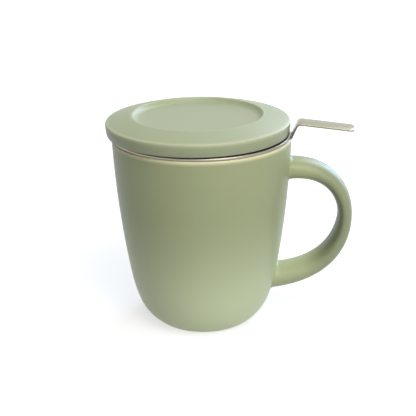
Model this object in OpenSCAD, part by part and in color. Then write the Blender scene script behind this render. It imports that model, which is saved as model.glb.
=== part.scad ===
// Lidded tea mug with a lift-out strainer basket.
// The mug stands on its foot ring at z = 0, its axis is the Z axis, and the
// handle points along +X, with the strainer's tab over it. Sizes in millimetres.

/* [Mug] */
// Outside diameter of the mug at its rim
rim_d = 92; // [88:1:98]
// Height of the rim above the table
mug_h = 100; // [95:0.5:110]
// Thickness of the pottery wall
wall_t = 4; // [3.5:0.1:4.6]
// Thickness of the floor
floor_t = 6; // [5:0.5:8]
// Lean of the wall at the rim, in degrees from upright
rim_lean = 1.5; // [0.5:0.5:3]
// Height where the long side curve meets the hip curve
hip_top_z = 26; // [24:1:30]
// Lean of the wall where the hip curve starts, in degrees
hip_top_lean = 9.6; // [9:0.1:11]
// Height where the hip curve meets the heel curve
heel_top_z = 12; // [10:1:14]
// Lean of the wall where the heel curve starts, in degrees
heel_top_lean = 20; // [18:1:23]
// Lean of the wall where the heel curve reaches the table, in degrees
heel_end_lean = 56.7; // [52:0.5:60]
// Width of the bare foot ring
foot_w = 4.2; // [3:0.2:6]
// Height of the hollow inside the foot ring
foot_hollow_h = 1.8; // [1.2:0.2:2.4]
// Rounding of the rim's outer edge
lip_outer_r = 0.9; // [0.6:0.1:0.9]
// Rounding of the rim's inner edge
lip_inner_r = 1; // [0.6:0.1:1.2]

/* [Handle] */
// Reach of the handle's middle line from the mug's axis
handle_reach = 74.5; // [70:0.5:80]
// Distance of the middle of the upper root below the rim
handle_top_drop = 17.5; // [15.8:0.1:20]
// Height of the middle of the lower root
handle_low_z = 22; // [21:0.2:24]
// Height of the furthest point, as a share of the way from the lower root to the upper
handle_mid_share = 0.585; // [0.5:0.005:0.65]
// Rise of the handle as it leaves the upper root, in degrees
handle_top_rise = 6; // [0:0.5:8]
// Rise of the handle as it leaves the lower root, in degrees
handle_low_rise = 5.8; // [2:0.2:9]
// Width of the handle across the fingers
handle_w = 17.6; // [15:0.2:19]
// Thickness of the upper root
handle_top_t = 11; // [9:0.2:12]
// Thickness at the furthest point
handle_mid_t = 7.4; // [6:0.2:8.6]
// Thickness of the lower root
handle_low_t = 12.6; // [10:0.2:13.6]
// Length of the smoothed joint where a root meets the mug
root_fillet = 1.4; // [1.2:0.1:3]

/* [Lid] */
// Largest diameter of the lid
lid_d = 94.2; // [90:0.2:98]
// Height of the lid's widest line above its seat
lid_wide_h = 5.9; // [5.3:0.1:6.5]
// Radius of the lid's bulging side
lid_side_r = 17.6; // [12:0.2:24]
// Height that the domed top would reach above the seat, without its recess
lid_crown_h = 14; // [13.4:0.1:15]
// Radius of the domed top
lid_dome_r = 169; // [150:1:200]
// Rounding between the side and the top
lid_edge_r = 0.9; // [0.7:0.1:1.6]
// Height of the brim's underside above the seat
brim_h = 1.1; // [0.7:0.1:1.4]
// Rounding of the brim's lower edge
brim_edge_r = 0.5; // [0.3:0.1:0.8]
// Gap between the lid's seat and the strainer's bead, where the slid lid comes nearest
seat_gap = 0.35; // [0.3:0.05:0.6]
// Diameter of the flat floor of the recess in the top
recess_d = 58.8; // [50:0.2:66]
// Depth of the recess at its edge
recess_h = 2.5; // [1.6:0.1:3]
// Radius of the hollow curve round the recess floor
recess_fillet = 4; // [3:0.2:5]
// Rounding of the recess edge
recess_edge_r = 1; // [0.6:0.1:1.4]
// Thickness of the pottery under the recess
lid_t = 4; // [3:0.1:5]
// Depth of the ring under the lid that holds it over the strainer's mouth
ring_h = 5.5; // [4.6:0.1:6]
// Thickness of that ring
ring_t = 3.6; // [3:0.1:4.4]
// Play of the ring inside the strainer's mouth, all round
lid_play = 3; // [2.6:0.1:3.4]
// How far the lid has slid away from the handle
lid_shift = 1.8; // [0:0.1:1.8]

/* [Strainer] */
// Thickness of the sheet steel
sheet_t = 0.6; // [0.5:0.05:0.8]
// Gap between the strainer's collar and the mug's mouth
collar_gap = 0.4; // [0.3:0.1:0.8]
// Height of the collar inside the mug's mouth
collar_h = 8; // [7:0.5:10]
// Radius of the rolled bead that rests on the mug's rim
bead_r = 0.75; // [0.7:0.05:0.9]
// Distance of the bead's middle from the mug's outer wall
bead_inset = 0.9; // [0.9:0.1:1.4]
// Gap between the basket's foot and the mug's inner wall
basket_gap = 1.3; // [1:0.1:3]
// Height of the basket's foot above the table
basket_low_z = 32; // [26:0.5:40]
// Length of the plain neck that holds the perforated wall
neck_h = 6; // [4:0.5:8]
// Height of the turned-up edge of the basket's base
cup_h = 5; // [3.5:0.5:7]

/* [Perforations] */
// Diameter of each hole
hole_d = 1.8; // [1:0.1:2.2]
// Distance between neighbouring holes
hole_pitch = 5.6; // [5:0.1:8]
// Plain border left beside an edge
hole_border = 2.4; // [1.6:0.1:4]

/* [Tab] */
// Width of the lifting tab
tab_w = 12; // [10:0.5:16]
// Thickness of the tab
tab_t = 0.8; // [0.6:0.05:1]
// Height of the tab's highest point above the rim
tab_rise = 8.15; // [8:0.05:12]
// Lean of the tab's upright leg, in degrees from upright
tab_lean = 22.9; // [20:0.1:32]
// Droop of the tab's arm, in degrees
tab_droop = 6; // [4:0.1:9]
// Length of the arm from the bend to its end
tab_arm_l = 26.4; // [18:0.1:30]
// Inner radius of the bend at the tab's foot
tab_low_bend_r = 0.6; // [0.5:0.1:1]
// Inner radius of the bend at the tab's top
tab_top_bend_r = 2; // [1:0.1:2.4]
// Turn of the tab away from the handle, in degrees
tab_turn = 4.5; // [0:0.5:10]
// Rounding of the arm's end corners
tab_corner_r = 2.5; // [1.5:0.1:4]

/* [Hidden] */
glaze = "#a4ab85";
steel = "#c6c3b6";
big = 400;
$fn = 96;

// --- The mug's wall: three arcs that meet tangentially -------------------------
// An arc's normal points out and down by the lean of the wall there.
function lean_dir(a) = [cos(a), -sin(a)];
rim_r = rim_d / 2;
side_arc_r = (mug_h - hip_top_z) / (sin(hip_top_lean) - sin(rim_lean));
hip_arc_r = (hip_top_z - heel_top_z) / (sin(heel_top_lean) - sin(hip_top_lean));
heel_arc_r = heel_top_z / (sin(heel_end_lean) - sin(heel_top_lean));
side_c = [rim_r, mug_h] - side_arc_r * lean_dir(rim_lean);
hip_c = side_c + (side_arc_r - hip_arc_r) * lean_dir(hip_top_lean);
heel_c = hip_c + (hip_arc_r - heel_arc_r) * lean_dir(heel_top_lean);

// Radius of the wall at height z, a distance `inset` inside its outer face
function on_arc(c, r, z) = c.x + sqrt(r * r - (z - c.y) * (z - c.y));
function wall_r(z, inset = 0) =
    z > hip_top_z + inset * sin(hip_top_lean) ? on_arc(side_c, side_arc_r - inset, z)
    : z > heel_top_z + inset * sin(heel_top_lean) ? on_arc(hip_c, hip_arc_r - inset, z)
    : on_arc(heel_c, heel_arc_r - inset, z);
foot_r = wall_r(0);

// --- Places that several pieces share ------------------------------------------
mouth_r = wall_r(mug_h - collar_h, wall_t);
collar_r = mouth_r - collar_gap;
collar_z = mug_h - collar_h;
bead_x = rim_r - bead_inset;
bead_z = mug_h + bead_r;
seat_z = bead_z + sheet_t / 2;
basket_r = wall_r(basket_low_z, wall_t) - basket_gap - sheet_t;
base_z = basket_low_z + sheet_t;
lid_ring_r = collar_r - sheet_t - lid_play;

// --- Helpers ---------------------------------------------------------------------
// Keeps the part of a profile between two heights
module between(low, high) {
    intersection() {
        children();
        polygon([[0, low], [big, low], [big, high], [0, high]]);
    }
}

module disc(c, r) {
    translate(c) circle(r = r, $fn = 360);
}

// Rounds a profile's corner with a circle at c that touches both its sides,
// where d1 and d2 point from c to the two places that it touches
module soften(c, r, d1, d2) {
    middle = (d1 + d2) / norm(d1 + d2);
    difference() {
        children();
        polygon([c + r * d1, c + 3 * r * d1, c + 4 * r * middle, c + 3 * r * d2, c + r * d2]);
    }
    disc(c, r);
}

function unit(v) = v / norm(v);

// The point where two circles cross, on the side away from the axis
function meet(c1, r1, c2, r2) =
    let (d = norm(c2 - c1), u = (c2 - c1) / d,
         along = (d * d + r1 * r1 - r2 * r2) / (2 * d),
         side = sqrt(r1 * r1 - along * along),
         p = c1 + along * u + side * [u.y, -u.x],
         q = c1 + along * u - side * [u.y, -u.x])
    p.x > q.x ? p : q;

// --- Mug ---------------------------------------------------------------------------
function hip_z(inset) = hip_top_z + inset * sin(hip_top_lean);
function heel_z(inset) = heel_top_z + inset * sin(heel_top_lean);

// The wall's side and hip, down to the heel
module side_profile(inset, high) {
    between(hip_z(inset), high) disc(side_c, side_arc_r - inset);
    between(heel_z(inset), hip_z(inset)) disc(hip_c, hip_arc_r - inset);
}

// The mug's outer shape, as if it were solid
module outer_profile() {
    side_profile(0, mug_h);
    between(0, heel_z(0)) {
        disc(heel_c, heel_arc_r);
        square([heel_c.x, heel_z(0)]);
    }
}

// The hollow's heel turns into a flat floor with one arc
module hollow_profile() {
    heel = heel_z(wall_t);
    turn_r = (heel - floor_t) / (1 - sin(heel_top_lean));
    turn_x = wall_r(heel, wall_t) - turn_r * cos(heel_top_lean);
    side_profile(wall_t, mug_h + 1);
    between(floor_t, heel) {
        disc([turn_x, floor_t + turn_r], turn_r);
        square([turn_x, heel]);
    }
}

module lip_profile() {
    outer_c = [on_arc(side_c, side_arc_r - lip_outer_r, mug_h - lip_outer_r), mug_h - lip_outer_r];
    inner_c = [on_arc(side_c, side_arc_r - wall_t + lip_inner_r, mug_h - lip_inner_r),
               mug_h - lip_inner_r];
    soften(outer_c, lip_outer_r, unit(outer_c - side_c), [0, 1])
        soften(inner_c, lip_inner_r, unit(side_c - inner_c), [0, 1])
            difference() {
                outer_profile();
                hollow_profile();
            }
}

module mug_body() {
    color(glaze) rotate_extrude($fn = 180) difference() {
        lip_profile();
        // hollow inside the foot ring
        between(-1, foot_hollow_h) {
            translate([0, -1]) square([foot_r - foot_w - foot_hollow_h, foot_hollow_h + 1]);
            disc([foot_r - foot_w - foot_hollow_h, 0], foot_hollow_h);
        }
    }
}

// --- Handle: an oval band swept along two Bezier curves -----------------------------
function bezier(p, t) =
    pow(1 - t, 3) * p[0] + 3 * pow(1 - t, 2) * t * p[1] + 3 * (1 - t) * t * t * p[2]
    + pow(t, 3) * p[3];
function bezier_slope(p, t) =
    3 * pow(1 - t, 2) * (p[1] - p[0]) + 6 * (1 - t) * t * (p[2] - p[1]) + 3 * t * t * (p[3] - p[2]);

handle_top_z = mug_h - handle_top_drop;
handle_mid_z = blend(handle_low_z, handle_top_z, handle_mid_share);
root_sink = wall_t / 2;
root_top = [wall_r(handle_top_z) - root_sink, handle_top_z];
root_low = [wall_r(handle_low_z) - root_sink, handle_low_z];
handle_tip = [handle_reach, handle_mid_z];
// Each curve's two middle points, as shares of the handle's reach and of its rise or fall
top_share = 0.76;
low_share = 0.95;
tip_share_up = 0.44;
tip_share_down = 0.17;
top_pull = top_share * (handle_reach - root_top.x);
low_pull = low_share * (handle_reach - root_low.x);
tip_pull_up = tip_share_up * (handle_top_z - handle_mid_z);
tip_pull_down = tip_share_down * (handle_mid_z - handle_low_z);
// How fast the band swells from its furthest point towards the roots
swell_power = 1.6;
// How far the sweep runs on into the wall: in u, and in millimetres for each step of u
root_past_u = 0.1;
root_past = 45;
// Depth of a joint's edge in the wall before it is cut to the wall's face
joint_sink = 0.15;
handle_upper = [root_top, root_top + top_pull * [cos(handle_top_rise), sin(handle_top_rise)],
                handle_tip + [0, tip_pull_up], handle_tip];
handle_lower = [handle_tip, handle_tip - [0, tip_pull_down],
                root_low + low_pull * [cos(handle_low_rise), sin(handle_low_rise)], root_low];

handle_steps = 32;
fillet_steps = 4;
section_sides = 32;
section_power = 2.3;

// u runs from -1 at the upper root through 0 at the tip to 1 at the lower root, and straight on
// into the wall past either end
function handle_dir(u) = let (v = min(max(u, -1), 1))
    unit(v < 0 ? bezier_slope(handle_upper, 1 + v) : bezier_slope(handle_lower, v));
function handle_point(u) =
    u < -1 ? root_top + (u + 1) * root_past * handle_dir(-1)
    : u > 1 ? root_low + (u - 1) * root_past * handle_dir(1)
    : u < 0 ? bezier(handle_upper, 1 + u) : bezier(handle_lower, u);
function blend(a, b, t) = a + (b - a) * t;
function handle_t(u) =
    blend(handle_mid_t, u < 0 ? handle_top_t : handle_low_t, pow(min(abs(u), 1), swell_power));
function power_of(v) = sign(v) * pow(abs(v), 2 / section_power);

// The point at place u on the k-th line along the band
function band_point(u, k) =
    let (p = handle_point(u), d = handle_dir(u), a = 360 * k / section_sides,
         out = handle_t(u) / 2 * power_of(cos(a)))
    [p.x - d.y * out, handle_w / 2 * power_of(sin(a)), p.y + d.x * out];

// Where a line comes out of the wall, found by halving the stretch between two places
function over_wall(q) = norm([q.x, q.y]) - wall_r(q.z);
function way_out(k, inner, outer, left = 20) =
    let (mid = (inner + outer) / 2)
    left == 0 ? mid
    : over_wall(band_point(mid, k)) > 0 ? way_out(k, inner, mid, left - 1)
    : way_out(k, mid, outer, left - 1);
ends = [for (side = [-1, 1]) [for (k = [0 : section_sides - 1])
    way_out(k, side * (1 + root_past_u), side * 0.4)]];

// A joint smoothed with a finger: each line curves off the band and lands flat on the wall
function on_wall(q, sink) =
    let (s = (wall_r(q.z) - sink) / norm([q.x, q.y])) [q.x * s, q.y * s, q.z];
function fillet_u(u) = u - sign(u) * root_fillet / norm(handle_point(u + 0.005) - handle_point(u - 0.005)) * 0.01;
function fillet_point(k, u, t) =
    let (m = band_point(u, k), core = handle_point(u), leave = band_point(fillet_u(u), k),
         land = on_wall(m + root_fillet * unit(m - [core.x, 0, core.y]), joint_sink))
    (1 - t) * (1 - t) * leave + 2 * (1 - t) * t * on_wall(m, 0) + t * t * land;

function joint_rings(side) = [for (j = [fillet_steps : -1 : 0])
    [for (k = [0 : section_sides - 1])
        fillet_point(k, ends[side][k], j / fillet_steps)]];
function band_ring(v) = [for (k = [0 : section_sides - 1])
    band_point(blend(fillet_u(ends[0][k]), fillet_u(ends[1][k]), v), k)];
function flat_ring(u) = [for (k = [0 : section_sides - 1]) band_point(u, k)];
function turned(list) = [for (j = [len(list) - 1 : -1 : 0]) list[j]];

module handle_sweep() {
    rings = concat([flat_ring(-1 - root_past_u)], joint_rings(0),
                   [for (j = [1 : handle_steps - 1]) band_ring(j / handle_steps)],
                   turned(joint_rings(1)), [flat_ring(1 + root_past_u)]);
    last = len(rings) - 1;
    n = section_sides;
    points = [for (ring = rings) each ring];
    sides = [for (j = [0 : last - 1], k = [0 : n - 1])
        let (a = j * n + k, b = j * n + (k + 1) % n)
        each [[a, b, b + n], [a, b + n, a + n]]];
    start_cap = [[for (k = [0 : n - 1]) n - 1 - k]];
    end_cap = [[for (k = [0 : n - 1]) last * n + k]];
    polyhedron(points, concat(sides, start_cap, end_cap));
}

module mug_handle() {
    color(glaze) difference() {
        handle_sweep();
        rotate_extrude($fn = 180) outer_profile();
    }
}

// --- Lid -------------------------------------------------------------------------------
side_round_c = [lid_d / 2 - lid_side_r, seat_z + lid_wide_h];
dome_c = [0, seat_z + lid_crown_h - lid_dome_r];
recess_r = recess_d / 2;
recess_lip_x = recess_r + recess_fillet;
recess_z = on_dome(recess_lip_x) - recess_h;
ceiling_z = recess_z - lid_t;
brim_z = seat_z + brim_h;
function on_dome(x) = dome_c.y + sqrt(lid_dome_r * lid_dome_r - x * x);

// The dome, its bulging side and the brim's flat underside
module lid_top_profile() {
    edge_c = meet(dome_c, lid_dome_r - lid_edge_r, side_round_c, lid_side_r - lid_edge_r);
    low_z = brim_z + brim_edge_r;
    low_c = [on_arc(side_round_c, lid_side_r - brim_edge_r, low_z), low_z];
    soften(edge_c, lid_edge_r, unit(edge_c - side_round_c), unit(edge_c - dome_c))
        soften(low_c, brim_edge_r, unit(low_c - side_round_c), [0, -1])
            intersection() {
                disc(dome_c, lid_dome_r);
                between(brim_z, big) {
                    disc(side_round_c, lid_side_r);
                    square([side_round_c.x, big]);
                }
            }
}

// A step under the brim that rests on the strainer, so the brim stays clear of the bead
module seat_profile() {
    seat_round = 0.4;
    seat_r = bead_x - bead_r - seat_gap - lid_shift;
    c = [seat_r - seat_round, seat_z + seat_round];
    soften(c, seat_round, [1, 0], [0, -1])
        translate([0, seat_z]) square([seat_r, 2 * brim_h]);
}

module recess_profile() {
    turn_c = [recess_r, recess_z + recess_fillet];
    disc(turn_c, recess_fillet);
    translate([0, recess_z]) square([recess_r, big]);
    translate(turn_c) square([recess_fillet, big]);
}

module lid() {
    turn_c = [recess_r, recess_z + recess_fillet];
    rim_c = meet(dome_c, lid_dome_r - recess_edge_r, turn_c, recess_fillet + recess_edge_r);
    ring_round = 1.2;
    ring_z = seat_z - ring_h;
    color(glaze) translate([-lid_shift, 0, 0]) rotate_extrude($fn = 180) {
        difference() {
            union() {
                soften(rim_c, recess_edge_r, unit(turn_c - rim_c), unit(rim_c - dome_c))
                    difference() {
                        lid_top_profile();
                        recess_profile();
                    }
                seat_profile();
            }
            // hollow under the top
            translate([0, seat_z - 1]) square([lid_ring_r - ring_t, ceiling_z - seat_z + 1]);
        }
        // ring that drops into the strainer's mouth
        soften([lid_ring_r - ring_round, ring_z + ring_round], ring_round, [1, 0], [0, -1])
            soften([lid_ring_r - ring_t + ring_round, ring_z + ring_round], ring_round,
                   [-1, 0], [0, -1])
                translate([lid_ring_r - ring_t, ring_z]) square([ring_t, ring_h + 1]);
    }
}

// --- Strainer ----------------------------------------------------------------------------
// A straight stretch of sheet between two radii and two heights
module sheet_flat(x1, x2, z1, z2) {
    polygon([[x1, z1], [x2, z1], [x2, z2], [x1, z2]]);
}

// A sheet-metal corner: a quarter of a ring, in the quadrant that `turn` selects
module sheet_corner(c, turn) {
    intersection() {
        difference() {
            disc(c, bend_r + sheet_t);
            disc(c, bend_r);
        }
        translate(c) rotate(turn) square(2 * bend_r + 2 * sheet_t);
    }
}
bend_r = 0.8;

module rim_profile() {
    bend_out = bend_r + sheet_t;
    corner_x = collar_r + bend_r;
    foot_x = collar_r - bend_out;
    neck_x = basket_r + bend_out;
    shoulder_z = collar_z + bend_out;
    corner_z = seat_z - bend_out;
    neck_z = collar_z - bend_r;
    // rolled bead and the flange that carries the lid
    disc([bead_x, bead_z], bead_r);
    sheet_flat(corner_x, bead_x, seat_z - sheet_t, seat_z);
    sheet_corner([corner_x, corner_z], 90);
    // collar inside the mug's mouth
    sheet_flat(collar_r - sheet_t, collar_r, shoulder_z, corner_z);
    sheet_corner([foot_x, shoulder_z], 270);
    // shoulder and the neck round the perforated wall
    sheet_flat(neck_x, foot_x, collar_z, collar_z + sheet_t);
    sheet_corner([neck_x, neck_z], 90);
    sheet_flat(basket_r, basket_r + sheet_t, collar_z - neck_h, neck_z);
}

module infuser_rim() {
    color(steel) rotate_extrude($fn = 180) rim_profile();
}

// Rows of holes, each row turned by half a step from the one below
wall_top_z = collar_z - bend_r;
wall_low_z = base_z + bend_r;
holes_low_z = base_z + cup_h + hole_border;
holes_high_z = collar_z - neck_h - hole_border;
row_pitch = hole_pitch * sin(60);
wall_rows = floor((holes_high_z - holes_low_z) / row_pitch);
wall_columns = floor(2 * PI * basket_r / hole_pitch);

module infuser_wall() {
    low = (holes_low_z + holes_high_z - wall_rows * row_pitch) / 2;
    color(steel) difference() {
        rotate_extrude($fn = 180)
            translate([basket_r - sheet_t, wall_low_z])
                square([sheet_t, wall_top_z - wall_low_z]);
        for (row = [0 : wall_rows], column = [0 : wall_columns - 1])
            rotate([0, 0, (column + (row % 2) / 2) * 360 / wall_columns])
                translate([basket_r - sheet_t - 1, 0, low + row * row_pitch])
                    rotate([0, 90, 0]) cylinder(d = hole_d, h = sheet_t + 2, $fn = 16);
    }
}

module infuser_base() {
    rings = floor((basket_r - sheet_t - hole_border) / hole_pitch);
    color(steel) difference() {
        rotate_extrude($fn = 180) {
            translate([0, basket_low_z]) square([basket_r - bend_r, sheet_t]);
            sheet_corner([basket_r - bend_r, basket_low_z + sheet_t + bend_r], 270);
            translate([basket_r, basket_low_z + sheet_t + bend_r])
                square([sheet_t, cup_h - bend_r]);
        }
        for (ring = [0 : rings]) {
            count = max(1, 6 * ring);
            for (k = [0 : count - 1])
                rotate([0, 0, 360 * k / count])
                    translate([ring * hole_pitch, 0, basket_low_z - 1])
                        cylinder(d = hole_d, h = sheet_t + 2, $fn = 16);
        }
    }
}

// --- Tab: one strip with two bends ----------------------------------------------------
// The foot starts at the bead's middle. It grows with the lid, so the upright leg stays clear of it
tab_lift = 0.2;
tab_least_foot = 0.35;
lid_overhang = 0.5;
tab_foot_l = max(tab_least_foot, lid_d / 2 - lid_shift - lid_overhang - bead_x);
tab_up_angle = 90 - tab_lean;
tab_bends_l = tab_low_bend_r + tab_top_bend_r + tab_t;
tab_bends_rise = (1 - cos(tab_up_angle)) * tab_bends_l;
tab_leg_l = (tab_rise - tab_lift - tab_t - tab_bends_rise) / sin(tab_up_angle);

tab_end_x = bead_x + tab_foot_l + tab_bends_l * sin(tab_up_angle)
          + tab_leg_l * cos(tab_up_angle) + (tab_t + tab_top_bend_r) * sin(tab_droop)
          + tab_arm_l * cos(tab_droop);

// The strip from the side. Each bend is two arcs round one centre, one for either face
bend_steps = 14;
function bend_face(c, r, a1, a2) =
    [for (j = [0 : bend_steps]) let (a = blend(a1, a2, j / bend_steps)) c + r * [cos(a), sin(a)]];

module strip_profile() {
    low_a = [-90, tab_up_angle - 90];
    top_a = [tab_up_angle + 90, 90 - tab_droop];
    low_c = [tab_foot_l, tab_t + tab_low_bend_r];
    top_c = low_c + tab_bends_l * [sin(tab_up_angle), -cos(tab_up_angle)]
          + tab_leg_l * [cos(tab_up_angle), sin(tab_up_angle)];
    arm = (tab_arm_l + 1) * [cos(tab_droop), -sin(tab_droop)];
    arm_side = [sin(tab_droop), cos(tab_droop)];
    polygon(concat(
        [[0, 0]],
        bend_face(low_c, tab_low_bend_r + tab_t, low_a[0], low_a[1]),
        bend_face(top_c, tab_top_bend_r, top_a[0], top_a[1]),
        [top_c + tab_top_bend_r * arm_side + arm,
         top_c + (tab_top_bend_r + tab_t) * arm_side + arm],
        bend_face(top_c, tab_top_bend_r + tab_t, top_a[1], top_a[0]),
        bend_face(low_c, tab_low_bend_r, low_a[1], low_a[0]),
        [[0, tab_t]]));
}

// The tab's outline from above, with its two free corners rounded
module tab_outline() {
    side = tab_w / 2 - tab_corner_r;
    translate([0, -tab_w / 2]) square([tab_end_x - tab_corner_r, tab_w]);
    translate([0, -side]) square([tab_end_x, 2 * side]);
    for (y = [-side, side]) disc([tab_end_x - tab_corner_r, y], tab_corner_r);
}

module infuser_tab() {
    color(steel) difference() {
        rotate([0, 0, -tab_turn]) intersection() {
            translate([bead_x, 0, mug_h + tab_lift]) rotate([90, 0, 0])
                linear_extrude(tab_w + 2, center = true) strip_profile();
            translate([0, 0, mug_h - tab_rise]) linear_extrude(3 * tab_rise) tab_outline();
        }
        rotate_extrude($fn = 180) disc([bead_x, bead_z], bead_r);
    }
}

mug_body();
mug_handle();
lid();
infuser_rim();
infuser_wall();
infuser_base();
infuser_tab();
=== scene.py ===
# %% [markdown]
# # A lidded tea mug with its infuser
#
# The real thing is a stoneware mug under a satin sage glaze, a loose lid of the same pottery, and
# a stainless steel infuser that hangs from the mug's rim. The sizes come from an imported CAD model,
# which this lesson loads first. Then it makes the pottery, the infuser's rim and its tab again as
# fine numpy meshes, because pottery and pressed steel are all smooth turns, and a coarse mesh would
# show corners on them. The infuser's perforated wall and base keep the imported meshes.

import bmesh
import bpy
import numpy as np
from mathutils import Matrix, Vector


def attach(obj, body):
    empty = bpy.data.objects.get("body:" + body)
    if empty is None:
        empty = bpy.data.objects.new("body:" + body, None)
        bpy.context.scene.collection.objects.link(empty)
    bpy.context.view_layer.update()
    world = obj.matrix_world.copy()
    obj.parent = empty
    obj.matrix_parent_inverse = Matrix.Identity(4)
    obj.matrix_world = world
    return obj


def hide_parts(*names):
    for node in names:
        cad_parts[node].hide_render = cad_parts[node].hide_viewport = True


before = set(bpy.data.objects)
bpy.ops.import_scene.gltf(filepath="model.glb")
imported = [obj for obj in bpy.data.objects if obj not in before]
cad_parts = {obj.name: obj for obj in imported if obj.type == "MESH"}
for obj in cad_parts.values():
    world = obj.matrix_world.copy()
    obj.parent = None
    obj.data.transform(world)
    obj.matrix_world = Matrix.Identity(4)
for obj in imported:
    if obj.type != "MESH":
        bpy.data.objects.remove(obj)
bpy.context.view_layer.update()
MM = 0.001

# %% [markdown]
# ## The camera
#
# A camera half a metre away shows the mug as a hand-held one does: the rim opens into a wide
# ellipse while the foot stays narrow. It looks at the middle of the mug's axis from 21.5 degrees
# above the table, and 3 degrees round towards the handle. The lens shift only slides the picture,
# so the handle and the tab fit beside the body. A film turned by one degree gives the slight
# tilt of a camera held by hand.

# %% Camera
scene = bpy.context.scene


def link_object(name, data):
    """Makes an object of the data and links it to the scene."""
    made = bpy.data.objects.new(name, data)
    scene.collection.objects.link(made)
    return made


PICTURE_W = 416
FILM_W = 36
FOCAL_PX = 940
AIM = Vector((0, 0, 50 * MM))
AIM_PX = (203.1, 225.65)
camera_data = bpy.data.cameras.new("camera")
camera_data.sensor_width = FILM_W
camera_data.lens = FILM_W * FOCAL_PX / PICTURE_W
camera_data.shift_x = (PICTURE_W / 2 - AIM_PX[0]) / PICTURE_W
camera_data.shift_y = (AIM_PX[1] - PICTURE_W / 2) / PICTURE_W
camera_data.clip_start = 10 * MM
camera = link_object("camera", camera_data)
scene.camera = camera

CAMERA_TURN = np.radians(3)
CAMERA_RISE = np.radians(21.55)
CAMERA_ROLL = np.radians(-0.97)
CAMERA_AWAY = 500 * MM
towards = Vector((np.sin(CAMERA_TURN) * np.cos(CAMERA_RISE),
                  -np.cos(CAMERA_TURN) * np.cos(CAMERA_RISE),
                  np.sin(CAMERA_RISE)))
look = towards.to_track_quat("Z", "Y").to_matrix().to_4x4()
camera.matrix_world = (Matrix.Translation(AIM + CAMERA_AWAY * towards) @ look
                       @ Matrix.Rotation(CAMERA_ROLL, 4, "Z"))
print("Lens in mm:", round(camera_data.lens, 1))

# %% [markdown]
# ## Drawing a profile
#
# A potter shapes a mug with a rib held against the turning clay, so its whole form is one outline
# carried round an axis. The outline could be a spline through measured points, but then nobody
# could say how thick the wall is. Here it is a chain of arcs and straight lines, as on a drawing.
# Each arc is split into steps of its own size, finer where its radius is large.

# %% Arcs and lines
SAME_PLACE = 1e-4


def arc(centre, radius, start, end, step):
    """Points of a circle: centre + radius * (cos a, sin a), with a from start to end in degrees."""
    count = max(3, int(abs(end - start) / step) + 1)
    a = np.radians(np.linspace(start, end, count))
    return np.column_stack([centre[0] + radius * np.cos(a), centre[1] + radius * np.sin(a)])


def line(start, end, spacing):
    """Points spread evenly from start to end, about `spacing` apart."""
    start, end = np.array(start, float), np.array(end, float)
    count = max(2, int(np.linalg.norm(end - start) / spacing) + 1)
    return start + np.linspace(0, 1, count)[:, None] * (end - start)


def chain(*stretches):
    """Joins stretches of points end to end and drops each point that repeats the one before."""
    points = np.concatenate(stretches)
    step = np.linalg.norm(np.diff(points, axis=0), axis=1)
    return points[np.concatenate([[True], step > SAME_PLACE])]


def crossing(centre_a, radius_a, centre_b, radius_b):
    """The point furthest from the axis where two circles cross, from the triangle of their radii."""
    a, b = np.array(centre_a, float), np.array(centre_b, float)
    gap = np.linalg.norm(b - a)
    u = (b - a) / gap
    along = (gap ** 2 + radius_a ** 2 - radius_b ** 2) / (2 * gap)
    side = np.sqrt(radius_a ** 2 - along ** 2)
    both = a + along * u + np.array([[1], [-1]]) * side * np.array([u[1], -u[0]])
    return both[np.argmax(both[:, 0])]


def angle_of(vector):
    """Direction of a plane vector, in degrees from the x axis."""
    return np.degrees(np.arctan2(vector[1], vector[0]))


print("A quarter circle in steps of 45 degrees:", arc([0, 0], 1, 0, 90, 45).round(2).tolist())

# %% [markdown]
# ## From numbers to a mesh
#
# Every surface here is a grid of points: one direction runs along a profile or a path, and the
# other goes round. `grid_mesh` joins neighbours into quads. Rows of points that fall together, as
# at a pole, are merged afterwards, and the sign of the enclosed volume says whether the faces
# point outwards. Modifiers could turn a profile too, but a grid also says where each weight goes.

# %% Grid of points to mesh
SMOOTH_LIMIT = np.radians(35)


def quads_of_grid(rows, columns, close_rows):
    """Indices of the quads between neighbouring points. Columns go round, and rows where asked."""
    index = np.arange(rows * columns).reshape(rows, columns)
    if close_rows:
        index = np.concatenate([index, index[:1]], axis=0)
    index = np.concatenate([index, index[:, :1]], axis=1)
    corners = [index[:-1, :-1], index[:-1, 1:], index[1:, 1:], index[1:, :-1]]
    return np.stack(corners, axis=-1).reshape(-1, 4)


def enclosed_volume(points, quads):
    """Sum over triangles of a . (b x c) / 6, which is positive when the faces point outwards."""
    tri = np.concatenate([quads[:, [0, 1, 2]], quads[:, [0, 2, 3]]])
    a, b, c = (points[tri[:, k]] for k in range(3))
    return np.einsum("ij,ij->i", a, np.cross(b, c)).sum() / 6


def grid_mesh(name, grid, close_rows=False, weights=None):
    """Makes a closed mesh from a grid of points in millimetres, with a weight for each point."""
    rows, columns = grid.shape[:2]
    points = grid.reshape(-1, 3) * MM
    quads = quads_of_grid(rows, columns, close_rows)
    if enclosed_volume(points, quads) < 0:
        quads = quads[:, ::-1]
    mesh = bpy.data.meshes.new(name)
    mesh.from_pydata(points, [], quads.tolist())
    for label, values in (weights or {}).items():
        layer = mesh.attributes.new(label, "FLOAT", "POINT")
        layer.data.foreach_set("value", np.ascontiguousarray(values, dtype=np.float32).ravel())
    return finish_mesh(name, mesh)


def finish_mesh(name, mesh):
    """Merges points that fall together, smooths all but real corners and links the object."""
    work = bmesh.new()
    work.from_mesh(mesh)
    bmesh.ops.remove_doubles(work, verts=work.verts, dist=SAME_PLACE * MM)
    work.to_mesh(mesh)
    work.free()
    mesh.shade_smooth()
    mesh.set_sharp_from_angle(angle=SMOOTH_LIMIT)
    print(name, "has", len(mesh.polygons), "faces")
    return link_object(name, mesh)


ROUND_STEPS = 240


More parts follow.
